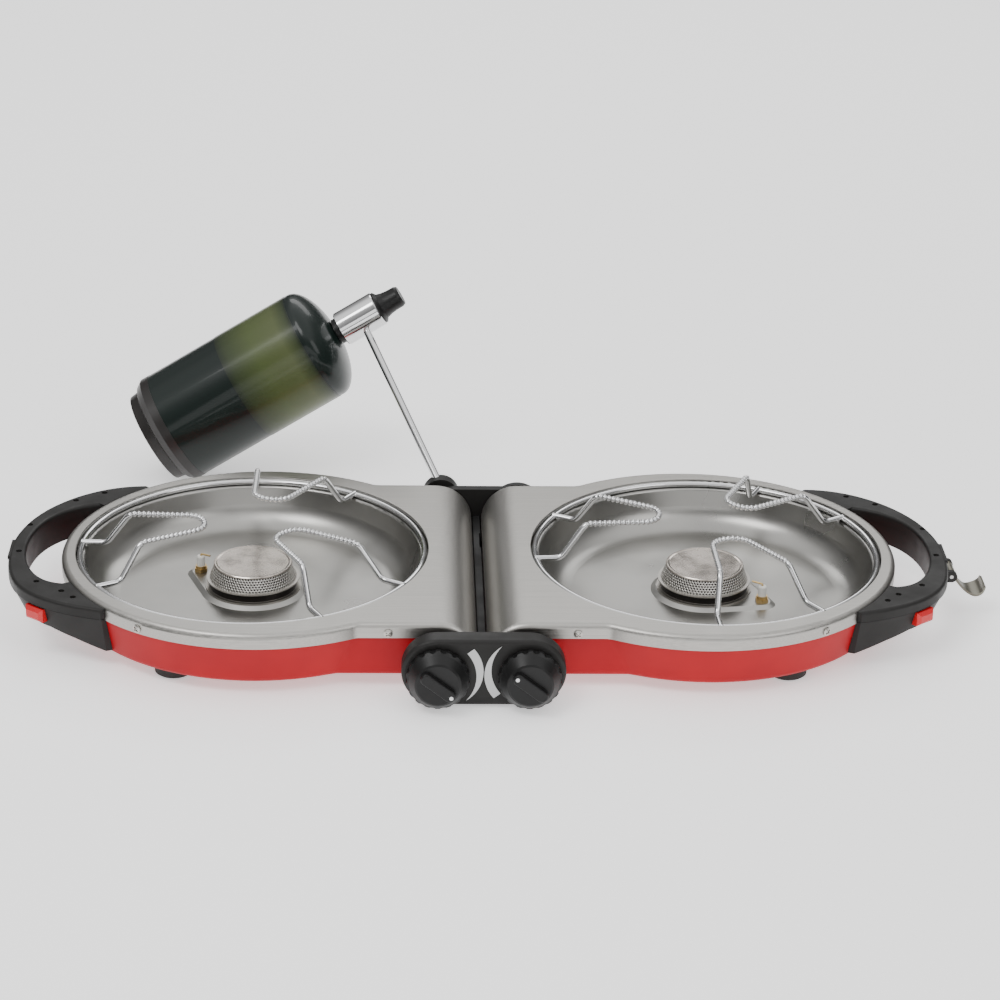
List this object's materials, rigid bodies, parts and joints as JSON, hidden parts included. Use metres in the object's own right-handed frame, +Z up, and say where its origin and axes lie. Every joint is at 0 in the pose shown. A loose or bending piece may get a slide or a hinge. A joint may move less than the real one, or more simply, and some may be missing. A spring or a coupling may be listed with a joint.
{
  "type": "camp stove",
  "caption": "Folding propane camp stove with round wire pan supports in dished bowls, loop handles, a centre spine with gas knobs, and a screw-on fuel bottle on a supply pipe.",
  "frame": {"origin": "middle of the spine's centre foot pad on the table, under the gap between the halves, in line with both burners", "axes": "+X along the length to the right when facing the knobs, -Y to the control panel at the front, +Z up, -Z out of the resting face"},
  "size_m": [0.7794, 0.5245, 0.1702],
  "materials": {
    "brushed_steel": "brushed stainless sheet, grain along the length",
    "red_paint": "semi-gloss red enamel on steel",
    "bowl_steel": "drawn steel sheet, satin",
    "burner_dark": "heat-darkened burner body",
    "mesh_steel": "perforated stainless flame ring",
    "cap_steel": "polished stainless cap",
    "white_ceramic": "glazed white ceramic",
    "brass": "plain brass, lightly tarnished",
    "chrome": "bright chrome plate",
    "black_plastic": "fine textured black plastic",
    "gloss_black": "black plastic, slightly glossy",
    "red_plastic": "glossy red plastic",
    "rubber": "black rubber",
    "zinc_screws": "zinc plated screws",
    "bush_plastic": "dark acetal bush",
    "spine_paint": "black coated steel",
    "mark_grey": "pale grey print",
    "dot_white": "white dot",
    "latch_grey": "grey-olive coated spring steel",
    "green_paint": "glossy dark green paint",
    "label_paper": null,
    "foot_plastic": "black plastic foot ring",
    "steel": "plain machined steel"
  },
  "bodies": {
    "spine": {"control_panel": "black_plastic", "panel_cover": "black_plastic", "flame_marks": "mark_grey", "gas_manifold": "brass", "spine_beam": "spine_paint", "rear_bracket": "black_plastic", "hinge_pins": "steel", "spine_feet": "rubber", "left_valve": "brass", "right_valve": "brass"},
    "left_half": {"left_top_plate": "brushed_steel", "left_base_shell": "red_paint", "left_burner_bowl": "bowl_steel", "left_burner_cup": "burner_dark", "left_burner_mesh": "mesh_steel", "left_burner_cap": "cap_steel", "left_igniter_ceramic": "white_ceramic", "left_igniter_metal": "brass", "left_gas_tube": "steel", "left_hinge_bushes": "bush_plastic", "left_handle_upper": "black_plastic", "left_handle_lower": "black_plastic", "left_piezo_unit": "gloss_black", "left_feet": "rubber", "left_screws": "zinc_screws"},
    "right_half": {"right_top_plate": "brushed_steel", "right_base_shell": "red_paint", "right_burner_bowl": "bowl_steel", "right_burner_cup": "burner_dark", "right_burner_mesh": "mesh_steel", "right_burner_cap": "cap_steel", "right_igniter_ceramic": "white_ceramic", "right_igniter_metal": "brass", "right_gas_tube": "steel", "right_hinge_bushes": "bush_plastic", "right_handle_upper": "black_plastic", "right_handle_lower": "black_plastic", "right_piezo_unit": "gloss_black", "right_feet": "rubber", "right_screws": "zinc_screws", "latch_pin": "steel"},
    "left_grate": {"left_pan_support": "chrome"},
    "right_grate": {"right_pan_support": "chrome"},
    "left_button": {"left_igniter_button": "red_plastic"},
    "right_button": {"right_igniter_button": "red_plastic"},
    "latch": {"latch_lever": "latch_grey"},
    "left_knob_set": {"left_knob": "gloss_black", "left_knob_dot": "dot_white", "left_valve_stem": "steel"},
    "right_knob_set": {"right_knob": "gloss_black", "right_knob_dot": "dot_white", "right_valve_stem": "steel"},
    "supply": {"swivel_knuckle": "black_plastic", "supply_pipe": "chrome", "regulator_body": "chrome", "regulator_cap": "gloss_black"},
    "bottle": {"fuel_bottle": "green_paint", "bottle_valve": "gloss_black", "bottle_foot": "foot_plastic", "bottle_label": "label_paper"}
  },
  "joints": [
    {"name": "left_fold", "type": "hinge", "parent": "spine", "child": "left_half", "pos_m": [-0.0345, 0, 0.0265], "axis": [0, 1, 0], "range_deg": [0, 90]},
    {"name": "right_fold", "type": "hinge", "parent": "spine", "child": "right_half", "pos_m": [0.0345, 0, 0.0265], "axis": [0, -1, 0], "range_deg": [0, 90]},
    {"name": "left_grate_lift", "type": "slide", "parent": "left_half", "child": "left_grate", "axis": [0, 0, 1], "range_m": [0, 0.004]},
    {"name": "right_grate_lift", "type": "slide", "parent": "right_half", "child": "right_grate", "axis": [0, 0, 1], "range_m": [0, 0.004]},
    {"name": "left_button_push", "type": "slide", "parent": "left_half", "child": "left_button", "axis": [0.6198, 0.7848, 0], "range_m": [0, 0.004], "stiffness_N_per_m": 300, "springref_m": -0.003},
    {"name": "right_button_push", "type": "slide", "parent": "right_half", "child": "right_button", "axis": [-0.6198, 0.7848, 0], "range_m": [0, 0.004], "stiffness_N_per_m": 300, "springref_m": -0.003},
    {"name": "latch_swing", "type": "hinge", "parent": "right_half", "child": "latch", "pos_m": [0.3776, 0, 0.036], "axis": [0, -1, 0], "range_deg": [0, 120]},
    {"name": "left_knob_turn", "type": "hinge", "parent": "spine", "child": "left_knob_set", "pos_m": [-0.0345, -0.17, 0.0265], "axis": [0, -1, 0], "range_deg": [-15, 105]},
    {"name": "right_knob_turn", "type": "hinge", "parent": "spine", "child": "right_knob_set", "pos_m": [0.0345, -0.17, 0.0265], "axis": [0, -1, 0], "range_deg": [-50, 70]},
    {"name": "supply_swivel", "type": "hinge", "parent": "spine", "child": "supply", "pos_m": [-0.0295, 0.145, 0.038], "axis": [0, 1, 0], "range_deg": [0, 60]},
    {"name": "bottle_unscrew", "type": "slide", "parent": "supply", "child": "bottle", "axis": [-0.8572, -0.0675, -0.5105], "range_m": [0, 0.02]}
  ]
}
